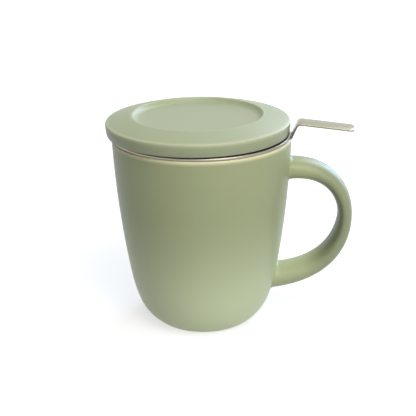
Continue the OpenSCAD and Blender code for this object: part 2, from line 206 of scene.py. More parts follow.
def revolve(name, profile, closed=False, centre_x=0.0, weights=None):
    """Surface of revolution: a profile point (r, z) goes round as (x0 + r cos t, r sin t, z)."""
    t = np.linspace(0, 2 * np.pi, ROUND_STEPS, endpoint=False)
    r, z = profile[:, :1], profile[:, 1:]
    grid = np.stack([centre_x + r * np.cos(t), r * np.sin(t), z + 0 * t], axis=-1)
    spread = {k: np.repeat(v[:, None], ROUND_STEPS, axis=1) for k, v in (weights or {}).items()}
    return grid_mesh(name, grid, close_rows=closed, weights=spread)


print("Quads in a grid of 3 rows by 4 columns:", len(quads_of_grid(3, 4, False)))

# %% [markdown]
# ## The mug's wall
#
# The wall is three arcs that meet without a corner. A long side curve leans in slowly from the
# rim, a hip curve turns faster, and a heel curve rolls under to the foot. Each arc is known by how
# far the wall leans from upright where it starts and ends, because two leans and a height give its
# radius. The inner wall uses the same centres with radii one wall thickness smaller, so the
# pottery is equally thick all the way up.

# %% Sizes of the mug
RIM_R = 46.0
MUG_H = 100.0
WALL_T = 4.0
FLOOR_T = 6.0
HIP_Z = 26.0
HEEL_Z = 12.0
RIM_LEAN, HIP_LEAN, HEEL_LEAN, FOOT_LEAN = 1.5, 9.6, 20.0, 56.7
FOOT_W = 4.2
FOOT_HOLLOW = 1.8
FOOT_EDGE_R = 0.5
LIP_OUTER_R = 0.9
LIP_INNER_R = 1.0


def sine(degrees):
    """Sine of an angle in degrees."""
    return np.sin(np.radians(degrees))


def lean_dir(degrees):
    """Outward normal of a wall that leans by this much: it points out and down."""
    return np.array([np.cos(np.radians(degrees)), -sine(degrees)])


SIDE_R = (MUG_H - HIP_Z) / (sine(HIP_LEAN) - sine(RIM_LEAN))
HIP_R = (HIP_Z - HEEL_Z) / (sine(HEEL_LEAN) - sine(HIP_LEAN))
HEEL_R = HEEL_Z / (sine(FOOT_LEAN) - sine(HEEL_LEAN))
SIDE_C = np.array([RIM_R, MUG_H]) - SIDE_R * lean_dir(RIM_LEAN)
HIP_C = SIDE_C + (SIDE_R - HIP_R) * lean_dir(HIP_LEAN)
HEEL_C = HIP_C + (HIP_R - HEEL_R) * lean_dir(HEEL_LEAN)


def wall_r(z, inset=0.0):
    """Radius of the wall at height z, `inset` inside its outer face, on whichever arc holds z."""
    z = np.asarray(z, float)
    on_side = z > HIP_Z + inset * sine(HIP_LEAN)
    on_hip = z > HEEL_Z + inset * sine(HEEL_LEAN)
    centre_x = np.select([on_side, on_hip], [SIDE_C[0], HIP_C[0]], HEEL_C[0])
    centre_z = np.select([on_side, on_hip], [SIDE_C[1], HIP_C[1]], HEEL_C[1])
    radius = np.select([on_side, on_hip], [SIDE_R, HIP_R], HEEL_R) - inset
    return centre_x + np.sqrt(np.maximum(radius ** 2 - (z - centre_z) ** 2, 0))


print("Arc radii in mm:", round(SIDE_R), round(HIP_R, 1), round(HEEL_R, 1))

# %% The mug's outline, from the middle of its underside to the middle of its floor
LINE_STEP = 1.0
SIDE_STEP, HIP_STEP, HEEL_STEP, TURN_STEP = 0.15, 0.7, 2, 4
HOLLOW_STEP, SMALL_STEP = 15, 10
FOOT_EDGE_IN = 0.95
HEEL_START = 1 - FOOT_LEAN
foot_r = float(wall_r(0.0))
hollow_x = foot_r - FOOT_W - FOOT_HOLLOW
lip_out_c = np.array([float(wall_r(MUG_H - LIP_OUTER_R, LIP_OUTER_R)), MUG_H - LIP_OUTER_R])
lip_in_z = MUG_H - LIP_INNER_R
lip_in_c = np.array([SIDE_C[0] + np.sqrt((SIDE_R - WALL_T + LIP_INNER_R) ** 2
                                         - (lip_in_z - SIDE_C[1]) ** 2), lip_in_z])
turn_z = HEEL_Z + WALL_T * sine(HEEL_LEAN)
turn_r = (turn_z - FLOOR_T) / (1 - sine(HEEL_LEAN))
turn_c = [float(wall_r(turn_z, WALL_T)) - turn_r * np.cos(np.radians(HEEL_LEAN)), FLOOR_T + turn_r]
foot_edge_c = np.array([foot_r - FOOT_EDGE_IN, FOOT_EDGE_R])
lip_out_a = angle_of(lip_out_c - SIDE_C)
lip_in_a = angle_of(SIDE_C - lip_in_c)

underside = chain(line([0, FOOT_HOLLOW], [hollow_x, FOOT_HOLLOW], LINE_STEP),
                  arc([hollow_x, 0], FOOT_HOLLOW, 90, 0, HOLLOW_STEP))
foot_ring = chain(line([hollow_x + FOOT_HOLLOW, 0], [foot_edge_c[0], 0], LINE_STEP),
                  arc(foot_edge_c, FOOT_EDGE_R, -90, -FOOT_LEAN, SMALL_STEP))
outside = chain(arc(HEEL_C, HEEL_R, HEEL_START, -HEEL_LEAN, HEEL_STEP),
                arc(HIP_C, HIP_R, -HEEL_LEAN, -HIP_LEAN, HIP_STEP),
                arc(SIDE_C, SIDE_R, -HIP_LEAN, lip_out_a, SIDE_STEP))
lip = chain(arc(lip_out_c, LIP_OUTER_R, lip_out_a, 90, SMALL_STEP),
            arc(lip_in_c, LIP_INNER_R, 90, lip_in_a, SMALL_STEP))
inside = chain(arc(SIDE_C, SIDE_R - WALL_T, angle_of(lip_in_c - SIDE_C), -HIP_LEAN, SIDE_STEP),
               arc(HIP_C, HIP_R - WALL_T, -HIP_LEAN, -HEEL_LEAN, HIP_STEP),
               arc(turn_c, turn_r, -HEEL_LEAN, -90, TURN_STEP),
               line([turn_c[0], FLOOR_T], [0, FLOOR_T], 2 * LINE_STEP))
mug_outline = chain(underside, foot_ring, outside, lip, inside)
print("Points in the mug's outline:", len(mug_outline))

# %% [markdown]
# ## Where the glaze changes
#
# Glaze is a fine coat of glass that flows a little in the kiln. It draws back from the rounded lip,
# where the pale clay shows through, and a painted highlight lies along the same lip. The wall grows
# paler towards the bottom, inside and out. That is painted light, standing for the light thrown up
# from the table. The glaze is wiped off the ring that the mug stands on. So each point of the outline
# also carries three weights: how pale the lip is, how much painted bounce light falls there, and
# whether the clay is bare. They could be painted by hand, but worked out from distances they stay
# right when a size changes.

# %% The mug's weights and surface
# LIP_PALE is the reach of the lip's pale edge, partly thinned glaze and partly painted highlight.
# Painted bounce light rises from nothing at the next height to full at the bottom.
LIP_PALE = 1.1
BARE_REACH = 0.9
BOUNCE_TOP_Z = 72.0


def eased(start, end, x):
    """0 at start, 1 at end and level beyond them: 3 s^2 - 2 s^3, with s the share of the way."""
    s = np.clip((x - start) / (end - start), 0, 1)
    return s * s * (3 - 2 * s)


def near(points, places, reach):
    """1 at the given places and falling to 0 at `reach` from them, as a rounded hill."""
    gap = np.linalg.norm(points[:, None, :] - places[None], axis=2).min(axis=1)
    return eased(reach, 0, gap)


lip_crown = lip[2:-2]
# Weights: a pale lip, partly thinned glaze and partly painted highlight; painted bounce light, paler
# towards the bottom inside and out; and bare clay.
mug_weights = {"thin_and_highlight": near(mug_outline, lip_crown, LIP_PALE),
               "painted_bounce": eased(BOUNCE_TOP_Z, 0, mug_outline[:, 1]),
               "bare": 1.0 * (near(mug_outline, foot_ring, BARE_REACH) > 0.5)}
mug = revolve("mug_pottery", mug_outline, weights=mug_weights)
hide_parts("mug_body")
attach(mug, "mug")

# %% [markdown]
# ## The handle
#
# A handle is pulled or pressed as a flat strap, bent to an ear while soft, and stuck to the body
# with slip. Its middle line is two Bezier curves that meet at the outermost point. The section is
# a superellipse, flatter than an oval and softer than a box, and it swells towards both roots.
# A bevelled curve would be quicker, but it meets the body in a hard line. Here each line along the
# strap leaves its course near the body and lands flat on the wall, which gives the fillet that a
# potter smooths with a wet finger.

# %% The handle's middle line
HANDLE_REACH = 74.5
HANDLE_TOP_Z = 82.5
HANDLE_LOW_Z = 22.0
MID_SHARE = 0.585
HANDLE_MID_Z = HANDLE_LOW_Z + MID_SHARE * (HANDLE_TOP_Z - HANDLE_LOW_Z)
TOP_RISE, LOW_RISE = 6.0, 5.8
TOP_ROOT_PULL, TOP_TIP_PULL = 0.76, 0.44
LOW_TIP_PULL, LOW_ROOT_PULL = 0.17, 0.95
HANDLE_W = 17.6
TOP_T, MID_T, LOW_T = 11.0, 7.4, 12.6
SECTION_POWER = 2.3
ROOT_SINK = WALL_T / 2


def bezier(p, t):
    """Cubic Bezier: (1-t)^3 p0 + 3 (1-t)^2 t p1 + 3 (1-t) t^2 p2 + t^3 p3."""
    t = t[:, None]
    return ((1 - t) ** 3 * p[0] + 3 * (1 - t) ** 2 * t * p[1]
            + 3 * (1 - t) * t ** 2 * p[2] + t ** 3 * p[3])


def rise_dir(degrees):
    """Direction that points out from the axis and up by this angle."""
    return np.array([np.cos(np.radians(degrees)), sine(degrees)])


root_top = np.array([float(wall_r(HANDLE_TOP_Z)) - ROOT_SINK, HANDLE_TOP_Z])
root_low = np.array([float(wall_r(HANDLE_LOW_Z)) - ROOT_SINK, HANDLE_LOW_Z])
tip = np.array([HANDLE_REACH, HANDLE_MID_Z])
upper = [root_top,
         root_top + TOP_ROOT_PULL * (HANDLE_REACH - root_top[0]) * rise_dir(TOP_RISE),
         tip + [0, TOP_TIP_PULL * (HANDLE_TOP_Z - HANDLE_MID_Z)],
         tip]
lower = [tip,
         tip - [0, LOW_TIP_PULL * (HANDLE_MID_Z - HANDLE_LOW_Z)],
         root_low + LOW_ROOT_PULL * (HANDLE_REACH - root_low[0]) * rise_dir(LOW_RISE),
         root_low]
print("Handle's outermost point in mm:", tip.round(1))

# %% Lines along the strap
STRAP_STEPS = 440
STRAP_SIDES = 64
SWELL_POWER = 1.6
PAST_U = 0.1
PAST_MM_PER_U = 45
u = np.linspace(-1 - PAST_U, 1 + PAST_U, STRAP_STEPS)
is_upper = (u < 0)[:, None]
middle = np.where(is_upper, bezier(upper, np.clip(1 + u, 0, 1)), bezier(lower, np.clip(u, 0, 1)))
past = PAST_MM_PER_U * np.maximum(np.abs(u) - 1, 0)[:, None]
middle -= past * np.where(is_upper, rise_dir(TOP_RISE), rise_dir(LOW_RISE))
heading = np.gradient(middle, axis=0)
heading /= np.linalg.norm(heading, axis=1)[:, None]
outward = np.stack([-heading[:, 1], heading[:, 0]], axis=1)
root_t = np.where(u < 0, TOP_T, LOW_T)
thickness = MID_T + (root_t - MID_T) * np.minimum(np.abs(u), 1) ** SWELL_POWER
a = np.linspace(0, 2 * np.pi, STRAP_SIDES, endpoint=False)
ring_out = np.sign(np.cos(a)) * np.abs(np.cos(a)) ** (2 / SECTION_POWER)
ring_across = np.sign(np.sin(a)) * np.abs(np.sin(a)) ** (2 / SECTION_POWER)
lift = thickness[:, None] / 2 * ring_out
strap = np.stack([middle[:, :1] + outward[:, :1] * lift,
                  np.broadcast_to(HANDLE_W / 2 * ring_across, lift.shape),
                  middle[:, 1:] + outward[:, 1:] * lift], axis=-1)
wall_gap = np.hypot(strap[..., 0], strap[..., 1]) - wall_r(strap[..., 2])
print("Strap's thickness in mm:", thickness.min().round(1), "to", thickness.max().round(1))

# %% The fillets, as quadratic curves from each line to the wall
FILLET = 1.4
FILLET_STEPS = 10
BODY_STEPS = 120
SEAM_SINK = 0.06


def sample(lines, place):
    """Points at fractional places along the lines, one place for each line and step."""
    low = np.clip(place.astype(int), 0, len(lines) - 2)
    share = (place - low)[..., None]
    column = np.arange(lines.shape[1])[None, :]
    return lines[low, column] * (1 - share) + lines[low + 1, column] * share


def onto_wall(p):
    """Moves points sideways onto the mug's outer wall, a hair inside it."""
    scale = (wall_r(p[..., 2]) - SEAM_SINK) / np.hypot(p[..., 0], p[..., 1])
    return np.stack([p[..., 0] * scale, p[..., 1] * scale, p[..., 2]], axis=-1)


steps_per_mm = STRAP_STEPS / np.linalg.norm(np.diff(middle, axis=0), axis=1).sum()


def way_out(gap):
    """Place along each line where its gap to the wall turns positive, between two samples."""
    after = np.argmax(gap > 0, axis=0)
    column = np.arange(gap.shape[1])
    low, high = gap[after - 1, column], gap[after, column]
    return after - high / (high - low)


first = way_out(wall_gap)
last = STRAP_STEPS - 1 - way_out(wall_gap[::-1])
fillet_steps = FILLET * steps_per_mm


def fillet(meet_place, leave_place, core):
    """Quadratic Bezier from a strap line, by its meeting with the wall, to a point on the wall."""
    leave = sample(strap, leave_place[None])[0]
    meeting = sample(strap, meet_place[None])[0]
    away = meeting - core
    away /= np.linalg.norm(away, axis=1)[:, None]
    landing = onto_wall(meeting + FILLET * away)
    t = np.linspace(0, 1, FILLET_STEPS)[:, None, None]
    return (1 - t) ** 2 * leave + 2 * (1 - t) * t * onto_wall(meeting) + t ** 2 * landing


def core_at(place):
    """Middle of the strap where its lines meet the wall, to spread the fillet away from."""
    p = middle[int(round(float(place.mean())))]
    return np.array([p[0], 0, p[1]])


top_fillet = fillet(first, first + fillet_steps, core_at(first))
low_fillet = fillet(last, last - fillet_steps, core_at(last))
share = np.linspace(0, 1, BODY_STEPS)[:, None]
places = (first + fillet_steps) * (1 - share) + (last - fillet_steps) * share
handle_grid = np.concatenate([top_fillet[::-1], sample(strap, places)[1:-1], low_fillet])
print("Rows along the handle:", len(handle_grid))

# %% [markdown]
# ## The handle's glaze
#
# The strap is closed at each root by a fan of faces that lies against the body. The outer part of
# the handle carries a fourth weight, a painted shade that darkens the glaze there. It is full on the
# side that faces the body and weaker all round. The handle gets only a little of the wall's painted
# bounce light.

# %% The handle's weights and surface
# The handle's share of painted bounce light, and the widths and faces where painted shade lies.
HANDLE_BOUNCE = 0.2
SHADE_FROM_X, SHADE_TO_X = 52, 68
SHADE_OUTSIDE = 0.35
INSIDE_FROM, INSIDE_TO = -0.3, 0.7


def with_caps(grid):
    """Adds a row at each end that shrinks to the row's own middle, so the tube is closed."""
    ends = [np.broadcast_to(row.mean(axis=0), row.shape)[None] for row in (grid[0], grid[-1])]
    return np.concatenate([ends[0], grid, ends[1]])


handle_closed = with_caps(handle_grid)
# Painted shade on the outer part: full on the side that faces the body, weaker all round.
far_out = eased(SHADE_FROM_X, SHADE_TO_X, handle_closed[..., 0])
faces_body = eased(INSIDE_FROM, INSIDE_TO, -np.cos(a))
handle_weights = {"painted_shade": far_out * (SHADE_OUTSIDE + (1 - SHADE_OUTSIDE) * faces_body),
                  "painted_bounce": HANDLE_BOUNCE * eased(BOUNCE_TOP_Z, 0, handle_closed[..., 2])}
handle = grid_mesh("handle_pottery", handle_closed, weights=handle_weights)
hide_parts("mug_handle")
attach(handle, "mug")

# %% [markdown]
# ## The lid
#
# The lid is a shallow dome with a bulging side. A dish pressed into its top gives a finger
# something to push against, and a ring under it keeps it over the infuser. A bevel could soften
# its edges, but on a curved face its width is hard to hold. So each soft edge is a circle that
# touches the two faces beside it, and its centre is where two slightly smaller circles cross. The
# lid is loose, so it lies a little to one side.

# %% Sizes of the lid
COLLAR_H = 8.0
COLLAR_GAP = 0.4
BEAD_R = 0.75
SHEET_T = 0.6
SEAT_Z = MUG_H + BEAD_R + SHEET_T / 2
LID_R = 47.1
LID_WIDE_H = 5.9
LID_SIDE_R = 17.6
LID_CROWN_H = 14.0
LID_DOME_R = 169.0
LID_EDGE_R = 0.9
BRIM_H = 1.1
BRIM_EDGE_R = 0.5
SEAT_R = 42.2
SEAT_EDGE_R = 0.4
RECESS_R = 29.4
RECESS_H = 2.5
RECESS_FILLET = 4.0
RECESS_EDGE_R = 1.0
LID_T = 4.0
RING_H = 5.5
RING_T = 3.6
RING_ROUND = 1.2
LID_PLAY = 3.0
LID_SHIFT = 1.8
COLLAR_R = float(wall_r(MUG_H - COLLAR_H, WALL_T)) - COLLAR_GAP
LID_RING_R = COLLAR_R - SHEET_T - LID_PLAY
print("Lid's seat and ring in mm:", round(SEAT_Z, 2), round(LID_RING_R, 2))

# %% The lid's outline, from the middle of its dish to the middle of its underside
DOME_STEP, BULGE_STEP = 0.3, 3
DISH_STEP, DISH_EDGE_STEP, LID_EDGE_STEP = 4, 8, 6
SEAT_EDGE_STEP, RING_STEP = 15, 12
SEAT_LINE, DISH_LINE, CEILING_LINE = 1.5, 2, 3
side_c = np.array([LID_R - LID_SIDE_R, SEAT_Z + LID_WIDE_H])
dome_c = np.array([0, SEAT_Z + LID_CROWN_H - LID_DOME_R])
recess_lip_x = RECESS_R + RECESS_FILLET
recess_z = dome_c[1] + np.sqrt(LID_DOME_R ** 2 - recess_lip_x ** 2) - RECESS_H
dish_c = np.array([RECESS_R, recess_z + RECESS_FILLET])
dish_edge_c = crossing(dome_c, LID_DOME_R - RECESS_EDGE_R, dish_c, RECESS_FILLET + RECESS_EDGE_R)
edge_c = crossing(dome_c, LID_DOME_R - LID_EDGE_R, side_c, LID_SIDE_R - LID_EDGE_R)
brim_z = SEAT_Z + BRIM_H
brim_up = brim_z + BRIM_EDGE_R
brim_reach = np.sqrt((LID_SIDE_R - BRIM_EDGE_R) ** 2 - (side_c[1] - brim_up) ** 2)
brim_c = np.array([side_c[0] + brim_reach, brim_up])
brim_a = angle_of(brim_c - side_c)
dome_from_a, dome_to_a = angle_of(dish_edge_c - dome_c), angle_of(edge_c - dome_c)
ring_low = SEAT_Z - RING_H
ring_turn = ring_low + RING_ROUND
ring_in_x = LID_RING_R - RING_T
ceiling_z = recess_z - LID_T

dish = chain(line([0, recess_z], [RECESS_R, recess_z], DISH_LINE),
             arc(dish_c, RECESS_FILLET, -90, angle_of(dish_edge_c - dish_c), DISH_STEP))
dish_edge = arc(dish_edge_c, RECESS_EDGE_R, angle_of(dish_c - dish_edge_c), dome_from_a,
                DISH_EDGE_STEP)
dome = arc(dome_c, LID_DOME_R, dome_from_a, dome_to_a, DOME_STEP)
lid_edge = arc(edge_c, LID_EDGE_R, dome_to_a, angle_of(edge_c - side_c), LID_EDGE_STEP)
lid_side = chain(arc(side_c, LID_SIDE_R, angle_of(edge_c - side_c), brim_a, BULGE_STEP),
                 arc(brim_c, BRIM_EDGE_R, brim_a, -90, SMALL_STEP))
seat = chain(line([brim_c[0], brim_z], [SEAT_R, brim_z], SEAT_LINE),
             arc([SEAT_R - SEAT_EDGE_R, SEAT_Z + SEAT_EDGE_R], SEAT_EDGE_R, 0, -90, SEAT_EDGE_STEP),
             line([SEAT_R - SEAT_EDGE_R, SEAT_Z], [LID_RING_R, SEAT_Z], SEAT_LINE))
ring = chain(line([LID_RING_R, SEAT_Z], [LID_RING_R, ring_turn], SEAT_LINE),
             arc([LID_RING_R - RING_ROUND, ring_turn], RING_ROUND, 0, -90, RING_STEP),
             arc([ring_in_x + RING_ROUND, ring_turn], RING_ROUND, -90, -180, RING_STEP),
             line([ring_in_x, ring_turn], [ring_in_x, ceiling_z], SEAT_LINE),
             line([ring_in_x, ceiling_z], [0, ceiling_z], CEILING_LINE))
lid_outline = chain(dish, dish_edge, dome, lid_edge, lid_side, seat, ring)
print("Points in the lid's outline:", len(lid_outline))

# %% The lid's weights and surface
# The lid's pale edges, round the dish and along the rim, are partly thinned glaze and partly a
# painted highlight.
DISH_EDGE_THIN_AND_LIT, DISH_EDGE_REACH = 0.2, 1.0
LID_EDGE_THIN_AND_LIT, LID_EDGE_REACH = 0.4, 1.4
lid_thin_and_highlight = np.maximum(DISH_EDGE_THIN_AND_LIT * near(lid_outline, dish_edge, DISH_EDGE_REACH),
                      LID_EDGE_THIN_AND_LIT * near(lid_outline, lid_edge, LID_EDGE_REACH))
lid = revolve("lid_pottery", lid_outline, centre_x=-LID_SHIFT, weights={"thin_and_highlight": lid_thin_and_highlight})
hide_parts("lid")
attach(lid, "lid")

# %% [markdown]
# ## The infuser's rim
#
# The rim is one pressing of sheet steel. It is a rolled bead that rests on the pottery, a collar
# that drops into the mouth, a shoulder, and a neck that holds the perforated wall. Solidify could
# thicken a single surface, but it can't close the bead's roll. So each bend is two arcs about one
# centre, a sheet's thickness apart, and the outline goes up one face, round the bead and back down
# the other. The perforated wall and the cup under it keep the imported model's own meshes, where
# every hole is already cut through.

# %% The rim's outline
BEAD_INSET = 0.9
BEND_R = 0.8
NECK_H = 6.0
BASKET_LOW_Z = 32.0
BASKET_GAP = 1.3
BASKET_R = float(wall_r(BASKET_LOW_Z, WALL_T)) - BASKET_GAP - SHEET_T
BEND_OUT = BEND_R + SHEET_T
collar_z = MUG_H - COLLAR_H
bead_x, bead_z = RIM_R - BEAD_INSET, MUG_H + BEAD_R
corner = [COLLAR_R + BEND_R, SEAT_Z - BEND_OUT]
collar_foot = [COLLAR_R - BEND_OUT, collar_z + BEND_OUT]
neck_bend = [BASKET_R + BEND_OUT, collar_z - BEND_R]
neck_low = collar_z - NECK_H
flange_a = np.degrees(np.arcsin(SHEET_T / 2 / BEAD_R))
BEND_STEP = 15

upper_face = chain([[BASKET_R, neck_low]],
                   arc(neck_bend, BEND_OUT, 180, 90, BEND_STEP),
                   arc(collar_foot, BEND_R, -90, 0, BEND_STEP),
                   arc(corner, BEND_OUT, 180, 90, BEND_STEP),
                   arc([bead_x, bead_z], BEAD_R, 180 - flange_a, flange_a - 180, BEND_STEP))
lower_face = chain(arc(corner, BEND_R, 90, 180, BEND_STEP),
                   arc(collar_foot, BEND_OUT, 0, -90, BEND_STEP),
                   arc(neck_bend, BEND_R, 90, 180, BEND_STEP),
                   [[BASKET_R + SHEET_T, neck_low]])
rim = revolve("infuser_rim_steel", chain(upper_face, lower_face), closed=True)
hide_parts("infuser_rim")
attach(rim, "infuser")

# %% [markdown]
# ## The lifting tab
#
# The tab is a strip cut from thicker sheet, bent twice and welded to the bead. Its cut edges are
# rounded a little so they don't scratch, and carry a painted shade that makes them darker than its
# faces. A flat plate could be bent by modifiers, but its thickness would change in the bends. Here
# the strip is a rounded rectangle carried along a line with two bends. Near its free end the
# rectangle narrows along a quarter circle, which rounds the two corners that a finger meets.

# %% The tab's line
TAB_W = 12.0
TAB_T = 0.8
TAB_LIFT = 0.2
TAB_RISE = 8.15
TAB_LEAN = 22.9
TAB_DROOP = 6.0
TAB_TURN = np.radians(-4.5)
TAB_ARM = 26.4
TAB_LOW_BEND_R, TAB_TOP_BEND_R = 0.6, 2.0
TAB_CORNER_R = 2.5
TAB_EDGE_R = 0.22
TAB_FOOT = 0.35
up_angle = 90 - TAB_LEAN
down_angle = up_angle + TAB_DROOP
low_bend, top_bend = TAB_LOW_BEND_R + TAB_T / 2, TAB_TOP_BEND_R + TAB_T / 2
bends_rise = (low_bend + top_bend) * (1 - np.cos(np.radians(up_angle)))
leg = (TAB_RISE - TAB_LIFT - TAB_T - bends_rise) / sine(up_angle)


def strip_line(start, moves, step=0.25):
    """Points, headings and places of a strip's middle line. A move is a length and a turn in degrees,
    spread over short steps. Headings and points are the running sums of those steps."""
    counts = [max(4, int(length / step)) for length, _ in moves]
    length = np.concatenate([np.full(n, move[0] / n) for n, move in zip(counts, moves)])
    turn = np.concatenate([np.full(n, move[1] / n) for n, move in zip(counts, moves)])
    angle = np.cumsum(turn)
    half_way = np.radians(angle - turn / 2)
    move = length[:, None] * np.column_stack([np.cos(half_way), np.sin(half_way)])
    points = np.concatenate([[start], start + np.cumsum(move, axis=0)])
    return points, np.radians(np.concatenate([[0], angle])), np.concatenate([[0], np.cumsum(length)])


tab_start = np.array([bead_x, MUG_H + TAB_LIFT + TAB_T / 2])
tab_moves = [(TAB_FOOT, 0), (low_bend * np.radians(up_angle), up_angle), (leg, 0),
             (top_bend * np.radians(down_angle), -down_angle), (TAB_ARM, 0)]
tab_line, tab_angle, tab_at = strip_line(tab_start, tab_moves)
print("Tab's length when flat, in mm:", tab_at[-1].round(1))

# %% The tab's surface
CORNER_POINTS = 5
SIDEWAYS = 0.1
left = tab_at[-1] - tab_at
corner_in = np.clip(TAB_CORNER_R - left, 0, TAB_CORNER_R)
half_w = TAB_W / 2 - TAB_CORNER_R + np.sqrt(TAB_CORNER_R ** 2 - corner_in ** 2)
edge_in = np.clip(TAB_EDGE_R - left, 0, TAB_EDGE_R)
half_t = TAB_T / 2 - TAB_EDGE_R + np.sqrt(TAB_EDGE_R ** 2 - edge_in ** 2)
corner_a = (np.linspace(0, np.pi / 2, CORNER_POINTS) + np.arange(4)[:, None] * np.pi / 2).ravel()
round_x, round_y = np.cos(corner_a), np.sin(corner_a)
side_x = np.repeat([1, -1, -1, 1], CORNER_POINTS)
side_y = np.repeat([1, 1, -1, -1], CORNER_POINTS)
across = side_x * (half_w[:, None] - TAB_EDGE_R) + TAB_EDGE_R * round_x
up = side_y * (half_t[:, None] - TAB_EDGE_R) + TAB_EDGE_R * round_y
along = tab_line[:, :1] - np.sin(tab_angle)[:, None] * up
tab_grid = np.stack([along * np.cos(TAB_TURN) - across * np.sin(TAB_TURN),
                     along * np.sin(TAB_TURN) + across * np.cos(TAB_TURN),
                     tab_line[:, 1:] + np.cos(tab_angle)[:, None] * up], axis=-1)
tab_closed = with_caps(tab_grid)
# The strip's cut sides carry this weight, for a painted shade along them.
on_edge = np.broadcast_to(1.0 * (np.abs(round_y) < SIDEWAYS), tab_closed.shape[:2])
tab = grid_mesh("infuser_tab_steel", tab_closed, weights={"edge": on_edge})
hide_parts("infuser_tab")
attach(tab, "infuser")

# %% [markdown]
# ## Building materials
#
# One small function adds a shader node, sets its properties and fills its inputs, each with a
# value or with another node's output. Colours are written as on a paint card, in sRGB hex, and
# turned to linear light by one function. A Mix node has several pairs of inputs called A and B, so
# its two colours are reached by number.

# %% Colour and node helpers
UNDER, OVER, MIXED = 6, 7, 2


def linear(code):
    """sRGB hex to linear light: the lower part is a straight line and the rest a power of 2.4."""
    s = np.array([int(code[k:k + 2], 16) for k in (1, 3, 5)]) / 255
    rgb = np.where(s <= 0.04045, s / 12.92, ((s + 0.055) / 1.055) ** 2.4)
    return (*rgb.tolist(), 1.0)


def add(tree, kind, inputs=None, **settings):
    """Adds one node. An input gets a value or another node's output, and a setting its property."""
    made = tree.nodes.new("ShaderNode" + kind)
    for key, value in settings.items():
        setattr(made, key, value)
    for key, value in (inputs or {}).items():
        if isinstance(value, bpy.types.NodeSocket):
            tree.links.new(value, made.inputs[key])
        else:
            made.inputs[key].default_value = value
    return made


def new_material(name):
    """An empty material and its tree of nodes."""
    made = bpy.data.materials.new(name)
    made.use_nodes = True
    made.node_tree.nodes.clear()
    return made, made.node_tree


def dress(piece, material):
    """Gives the piece this material and no other."""
    piece.data.materials.clear()
    piece.data.materials.append(material)


print("Middle grey #808080 in linear light:", round(linear("#808080")[0], 3))

# %% [markdown]
# ## Satin glaze
#
# The glaze is a matte-satin stoneware glaze, dipped and fired at about 1230 degrees. Tiny crystals
# in it scatter light, so it shines softly and shows no sharp reflection. They are a tenth of a
# millimetre, too fine to show, so the grain is drawn five times as coarse. The glaze also clouds
# slightly over a centimetre or two and ripples like orange peel. One flat green would look like
# plastic, so the weights lay four more colours over it. It is paler towards the foot, a painted
# light that stands for light thrown up from the table. It is darker on the outer part of the handle,
# a painted shade. Over an edge it is warm and pale, partly where the glaze runs thinner and partly
# as a painted highlight. The foot ring, wiped clean so it can't stick to the kiln shelf, is rough,
# bare clay.

# %% Glaze
CLOUD_MM, RIPPLE_MM, GRAIN_MM = 16, 3.2, 0.5
CLOUD_DETAIL, FINE_DETAIL = 3.0, 2.0
RIPPLE_H, GRAIN_H = 0.06 * MM, 0.012 * MM
RIPPLE_STRENGTH, GRAIN_STRENGTH = 0.25, 0.2
SATIN_FROM, SATIN_TO, CLAY_ROUGH = 0.36, 0.46, 0.85
GLAZE_IOR = 1.45
# Colours for painted bounce light, painted shade on the handle, and the bare clay.
PAINTED_BOUNCE_COLOUR, HANDLE_SHADE_COLOUR, CLAY = "#dfeac1", "#7b8065", "#c9b79a"


def satin_glaze(name, colour, cloud, thin_and_highlight_colour):
    """Glaze that clouds between two colours, with painted bounce light, painted shade, bare clay
    and edges that are partly thinned glaze and partly painted highlight over them.
    """
    material, tree = new_material(name)
    place = add(tree, "TexCoord").outputs["Object"]
    sizes = ((CLOUD_MM, CLOUD_DETAIL), (RIPPLE_MM, FINE_DETAIL), (GRAIN_MM, FINE_DETAIL))
    noises = [add(tree, "TexNoise", {"Vector": place, "Scale": 1 / (size * MM), "Detail": detail})
              for size, detail in sizes]
    clouds, ripple, grain = (noise.outputs["Fac"] for noise in noises)
    coat = add(tree, "Mix", {"Factor": clouds, UNDER: linear(colour), OVER: linear(cloud)},
               data_type="RGBA")
    # Layers: painted bounce light, painted shade, the pale edge of thinned glaze and painted
    # highlight, and bare clay.
    for label, over in (("painted_bounce", PAINTED_BOUNCE_COLOUR), ("painted_shade", HANDLE_SHADE_COLOUR), ("thin_and_highlight", thin_and_highlight_colour), ("bare", CLAY)):
        weight = add(tree, "Attribute", attribute_name=label).outputs["Fac"]
        coat = add(tree, "Mix", {"Factor": weight, UNDER: coat.outputs[MIXED], OVER: linear(over)},
                   data_type="RGBA")
    bare = weight
    satin = add(tree, "MapRange", {"Value": grain, "To Min": SATIN_FROM, "To Max": SATIN_TO})
    rough = add(tree, "MapRange", {"Value": bare, "To Min": satin.outputs["Result"],
                                   "To Max": CLAY_ROUGH})
    low = add(tree, "Bump", {"Height": ripple, "Strength": RIPPLE_STRENGTH, "Distance": RIPPLE_H})
    high = add(tree, "Bump", {"Height": grain, "Strength": GRAIN_STRENGTH, "Distance": GRAIN_H,
                              "Normal": low.outputs["Normal"]})
    shader = add(tree, "BsdfPrincipled", {"Base Color": coat.outputs[MIXED], "IOR": GLAZE_IOR,
                                          "Roughness": rough.outputs["Result"],
                                          "Normal": high.outputs["Normal"]})
    add(tree, "OutputMaterial", {"Surface": shader.outputs["BSDF"]})
    print(name, "has", len(tree.nodes), "nodes")
    return material


mug_glaze = satin_glaze("satin sage glaze, mug", "#a5ac82", "#abb287", "#e8e4b8")
# The lid has the mug's glaze, but its copy is a little darker and cooler: painted shade.
lid_glaze_shaded = satin_glaze("satin sage glaze, lid", "#a0a985", "#a6ae8b", "#d2d4ae")
dress(mug, mug_glaze)
dress(handle, mug_glaze)
dress(lid, lid_glaze_shaded)

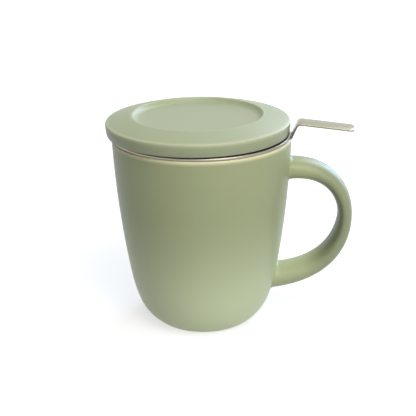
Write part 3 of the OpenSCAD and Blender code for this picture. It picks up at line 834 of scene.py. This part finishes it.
# %% [markdown]
# ## Stainless steel
#
# Kitchen strainers are pressed from 304 stainless, which is a little warmer and darker than
# chrome. The tab was brushed along its length on a belt before bending. Fine parallel scratches
# spread its reflections across the strip, so it looks silky, and its cut edges carry a painted shade.
# The rim and basket were tumbled after pressing. That leaves an even soft grey, with faint upright
# lines from the press. Real scratches are under a tenth of a millimetre apart, too fine to show,
# so they are drawn a quarter of a millimetre apart and sixty times as long.

# %% Steel
BRUSH_MM = 0.25
BRUSH_LONG = 60
BRUSH_DETAIL = 3.0
BRUSH_STRENGTH = 0.3
# The painted shade on the strip's cut sides.
EDGE_SHADE_COLOUR = "#625d4c"


def brushed_steel(name, colour, rough_from, rough_to, depth, stretch):
    """Metal whose roughness and height follow noise drawn out along the brushing direction."""
    material, tree = new_material(name)
    place = add(tree, "TexCoord").outputs["Object"]
    drawn = add(tree, "Mapping", {"Vector": place, "Scale": stretch})
    lines = add(tree, "TexNoise", {"Vector": drawn.outputs["Vector"], "Scale": 1 / (BRUSH_MM * MM),
                                   "Detail": BRUSH_DETAIL}).outputs["Fac"]
    # The edge weight turns the colour to the painted shade of the cut sides.
    edge = add(tree, "Attribute", attribute_name="edge").outputs["Fac"]
    face = add(tree, "Mix", {"Factor": edge, UNDER: linear(colour), OVER: linear(EDGE_SHADE_COLOUR)},
               data_type="RGBA")
    rough = add(tree, "MapRange", {"Value": lines, "To Min": rough_from, "To Max": rough_to})
    bump = add(tree, "Bump", {"Height": lines, "Strength": BRUSH_STRENGTH, "Distance": depth * MM})
    shader = add(tree, "BsdfPrincipled", {"Base Color": face.outputs[MIXED], "Metallic": 1.0,
                                          "Roughness": rough.outputs["Result"],
                                          "Normal": bump.outputs["Normal"]})
    add(tree, "OutputMaterial", {"Surface": shader.outputs["BSDF"]})
    print(name, "has", len(tree.nodes), "nodes")
    return material


along_tab, upright = (1 / BRUSH_LONG, 1, 1 / BRUSH_LONG), (1, 1, 1 / BRUSH_LONG)
tab_steel = brushed_steel("brushed 304 stainless strip", "#9f9b80", 0.16, 0.26, 0.006, along_tab)
sheet_steel = brushed_steel("tumbled 304 stainless sheet", "#9b968c", 0.3, 0.4, 0.004, upright)
dress(tab, tab_steel)
dress(rim, sheet_steel)
for node_name in ("infuser_wall", "infuser_base"):
    dress(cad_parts[node_name], sheet_steel)

# %% [markdown]
# ## Table and light
#
# Tableware is photographed on a white sweep under big soft lamps. Looked at or mirrored, this
# sweep is a matte surface that also glows, less beside the mug and more far off. So the page is
# white out to its edges, and the mug still darkens it with a soft shadow. For the rays that carry
# light from one surface to another it is a plain pale grey matte. The surroundings are white
# where they are looked at or mirrored, and give no light of their own.

# %% Floor
FLOOR_HALF = 4.0
GLOW_BY_MUG, GLOW_FAR_OFF = 0.68, 1.0
GLOW_RISES_FROM, GLOW_RISES_TO = 0.1, 1.0
SWEEP_SEEN, SWEEP_BOUNCE = (0.5, 0.5, 0.5, 1), "#c4c4c2"
WHITE = (1, 1, 1, 1)
floor_mesh = bpy.data.meshes.new("floor")
floor_mesh.from_pydata([(x * FLOOR_HALF, y * FLOOR_HALF, 0) for x, y in
                        ((-1, -1), (1, -1), (1, 1), (-1, 1))], [], [(0, 1, 2, 3)])
floor = link_object("floor", floor_mesh)


def seen_directly(tree):
    """1 for camera, glossy and transmission rays, and 0 for the rays that carry light."""
    path = add(tree, "LightPath")
    either = add(tree, "Math", {0: path.outputs["Is Camera Ray"], 1: path.outputs["Is Glossy Ray"]},
                 operation="MAXIMUM")
    return add(tree, "Math", {0: either.outputs[0], 1: path.outputs["Is Transmission Ray"]},
               operation="MAXIMUM").outputs[0]


paper, tree = new_material("white paper sweep")
spot = add(tree, "TexCoord").outputs["Object"]
away = add(tree, "VectorMath", {0: spot}, operation="LENGTH").outputs["Value"]
strength = add(tree, "MapRange", {"Value": away, "From Min": GLOW_RISES_FROM,
                                  "From Max": GLOW_RISES_TO, "To Min": GLOW_BY_MUG,
                                  "To Max": GLOW_FAR_OFF})
bounce = add(tree, "BsdfDiffuse", {"Color": linear(SWEEP_BOUNCE)})
matte = add(tree, "BsdfDiffuse", {"Color": SWEEP_SEEN})
glow = add(tree, "Emission", {"Strength": strength.outputs["Result"], "Color": WHITE})
glowing = add(tree, "AddShader", {0: matte.outputs["BSDF"], 1: glow.outputs["Emission"]})
shown = add(tree, "MixShader", {0: seen_directly(tree), 1: bounce.outputs["BSDF"],
                                2: glowing.outputs["Shader"]})
add(tree, "OutputMaterial", {"Surface": shown.outputs["Shader"]})
dress(floor, paper)
print("Sweep is", 2 * FLOOR_HALF, "m across, with", len(tree.nodes), "nodes")

# %% World
world = bpy.data.worlds.new("studio")
scene.world = world
world.use_nodes = True
tree = world.node_tree
tree.nodes.clear()
surroundings = add(tree, "Background", {"Strength": seen_directly(tree), "Color": WHITE})
add(tree, "OutputWorld", {"Surface": surroundings.outputs["Background"]})
print("World has", len(tree.nodes), "nodes")

# %% [markdown]
# ## Lamps
#
# Four white lamps hang in front, to the right and overhead, so the pottery is lighter on its right
# side and the lid's top is lighter than the wall. Behind and to the right, two bluish lamps stand
# for a window. They draw the cool, soft streaks on the top of the handle and of the lid's rim.

# %% Lamps


def soft_lamp(name, place, size, watts, colour):
    """A square area lamp that faces the mug, with its place and size in metres."""
    data = bpy.data.lights.new(name, "AREA")
    data.size = size
    data.energy = watts
    data.color = linear(colour)[:3]
    lamp = link_object(name, data)
    lamp.location = place
    lamp.rotation_euler = (Vector(place) - AIM).to_track_quat("Z", "Y").to_euler()
    print(name, watts, "W")


soft_lamp("high front lamp", (0.15, -0.6, 1.1), 0.7, 4.3, "#ffffff")
soft_lamp("high right lamp", (0.5, -0.6, 1.0), 0.7, 4.8, "#ffffff")
soft_lamp("low front right lamp", (0.5, -1.0, 0.5), 0.7, 3.8, "#ffffff")
soft_lamp("top lamp", (0.1, 0.25, 1.3), 0.9, 4.5, "#ffffff")
soft_lamp("window lamp behind right", (0.5, 0.9, 0.75), 0.5, 4.2, "#d8e8ff")
soft_lamp("low window lamp behind right", (0.65, 0.95, 0.35), 0.5, 5.5, "#b4d6ff")

# %% [markdown]
# ## Picture settings
#
# The picture keeps colours as they are written, with no film curve over them.

# %% Picture settings
scene.view_settings.view_transform = "Standard"
